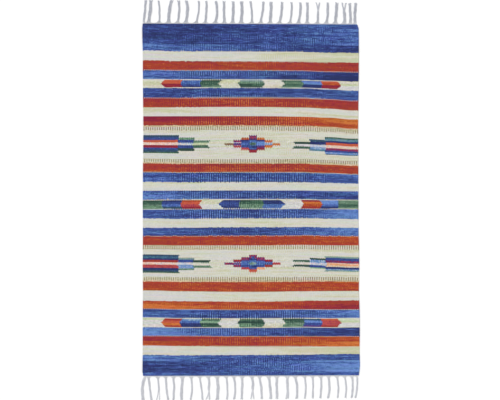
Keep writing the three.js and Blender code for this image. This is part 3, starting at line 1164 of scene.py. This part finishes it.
def add_headings(tubes, edge, outward, sides, rng):
    """Cotton picks that lock the wool, laid over and under the warps in turn."""
    steps = int((sides[1] - sides[0]) / WARP_PITCH * CORD_STATIONS)
    for shift, place in enumerate(CORD_PLACES):
        line = []
        for i in range(steps + 1):
            x = lerp(*sides, i / steps)
            out = place + CORD_STRAY * math.sin(x / 23 + shift)
            z = CORD_HIGH + CORD_WAVE * math.cos(math.pi * (x / WARP_PITCH + shift))
            line.append((x, edge(x) + outward * out, z))
        tubes.add(line, [CORD_RADIUS] * len(line), YARN_SIDES, CORD + rng.random())


def fringe(name, rows, edge, outward, lengths):
    rng = random.Random(name)
    tubes = Tubes()
    run = 0 if outward > 0 else WEAVE_LENGTH
    left = float(read_table(OUTLINE, run, 1)) - HEADING_INSET
    right = float(read_table(OUTLINE, run, 2)) - HEADING_INSET
    add_headings(tubes, edge, outward, (-left, right), rng)
    tassels = [Tassel(*row) for row in rows]
    for index, tassel in enumerate(tassels):
        low, high = -left + 1, right - 1
        if index:
            low = (tassels[index - 1].root + tassel.root) / 2
        if index + 1 < len(tassels):
            high = (tassel.root + tassels[index + 1].root) / 2
        length = lerp(*lengths, (tassel.root + WIDEST) / (2 * WIDEST))
        add_tassel(tubes, tassel, (low, high), length, edge, outward, rng)
    return tubes.make("cotton_" + name)


# The cotton: its noises, and how much each thing makes a yarn paler; near the weave the paleness is painted
# light, lifting the shade among the spread warp ends
STRAND_GRAIN = 0.55  # turns of the strands for each millimetre of yarn
STRANDS = 2.0
COTTON_GRAIN = Grain(2, 9.0, None, 0.6)
KEY_APART = 50.0  # how far apart the fibres of two yarns lie in the noise
SOIL_GRAIN = Grain(25, 31.0, 0.0)
FIBRE_PALER, SOIL_PALER, KEY_PALER, FOOT_PAINTED_LIGHT = 0.35, 0.5, 0.15, 0.4
SHADE_PLACES = (0.0, 0.45, 1.0)
STRAND_HIGH = 0.4
COTTON_RELIEF = 0.3 * MM
COTTON_BUMP = 0.8
COTTON_LOOKS = {"Roughness": 0.85, "Specular IOR Level": 0.25, "Sheen Weight": 0.1}


def cotton_material(name):
    n = Nodes("undyed cotton " + name)
    along, turn, key = n.parts(n.attribute("yarn"))
    twist = n.add(n.mul(along, STRAND_GRAIN), n.mul(turn, STRANDS))
    strands = n.math("SINE", n.mul(twist, 2 * math.pi))
    fibres = n.grain(along, turn, COTTON_GRAIN, n.mul(key, KEY_APART), detail=3.0)
    soil = n.grain(along, key, SOIL_GRAIN, detail=1.0)
    # painted light: each yarn is paler over its first stretch from the weave, where the spread warp ends and
    # the heading cords shade one another
    painted_root_light = n.math("SUBTRACT", 1.0, n.math("DIVIDE", along, 1.2 * GATHER), clamp=True)
    tone = n.add(n.mul(fibres, FIBRE_PALER), n.mul(soil, SOIL_PALER))
    tone = n.add(n.add(tone, n.mul(key, KEY_PALER)), n.mul(painted_root_light, FOOT_PAINTED_LIGHT))
    shades = [linear(srgb) for srgb in COTTONS[name]]
    colour = n.ramp(tone, list(zip(SHADE_PLACES, shades)))
    height = n.add(n.mul(strands, STRAND_HIGH), fibres)
    return n.dressed(COTTON_LOOKS, colour, n.bump(height, COTTON_RELIEF, COTTON_BUMP))


# Studio: a pale floor, soft light from all round with a gentle key, and a camera straight above

PIXEL = 4.23 * MM  # what one pixel of the photograph spans on the floor
PHOTO_WIDE = 500  # in pixels
CAMERA_PLACE = (-3.2 * MM, -1.3 * MM, 10.0)
SENSOR = 36.0
ROOM_LIGHT = 0.85
KEY_LIGHT = 1.35
KEY_WIDE = 25
KEY_TURN = (-28, -30, 0)
FLOOR_REACH = 9000
FLOOR_LOOKS = {"Base Color": (0.9, 0.9, 0.9, 1.0), "Roughness": 0.9, "Specular IOR Level": 0.0}


def studio():
    scene = bpy.context.scene
    scene.view_settings.view_transform = "Standard"
    world = bpy.data.worlds.new("soft room")
    world.use_nodes = True
    backdrop = world.node_tree.nodes["Background"]
    backdrop.inputs["Color"].default_value = (1.0, 1.0, 1.0, 1.0)
    backdrop.inputs["Strength"].default_value = ROOM_LIGHT
    scene.world = world
    key = bpy.data.objects.new("key", bpy.data.lights.new("key", "SUN"))
    key.data.energy = KEY_LIGHT
    key.data.angle = math.radians(KEY_WIDE)
    key.rotation_euler = [math.radians(turn) for turn in KEY_TURN]
    scene.collection.objects.link(key)

    corners = [(FLOOR_REACH * x, FLOOR_REACH * y, 0) for x, y in ((-1, -1), (1, -1), (1, 1), (-1, 1))]
    floor = new_mesh("floor", corners, [(0, 1, 2, 3)], smooth=False)
    floor.data.materials.append(Nodes("pale floor").dressed(FLOOR_LOOKS))

    camera = bpy.data.objects.new("camera", bpy.data.cameras.new("camera"))
    camera.data.sensor_width = SENSOR
    camera.data.lens = SENSOR * CAMERA_PLACE[2] / (PHOTO_WIDE * PIXEL)
    camera.location = CAMERA_PLACE
    scene.collection.objects.link(camera)
    scene.camera = camera


studio()

field = woven_field()
field.data.materials.append(wool_material())
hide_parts("woven_field")
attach(field, "root")

for details in FRINGES:
    piece = fringe(*details)
    piece.data.materials.append(cotton_material(details[0]))
    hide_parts(details[0])
    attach(piece, "root")
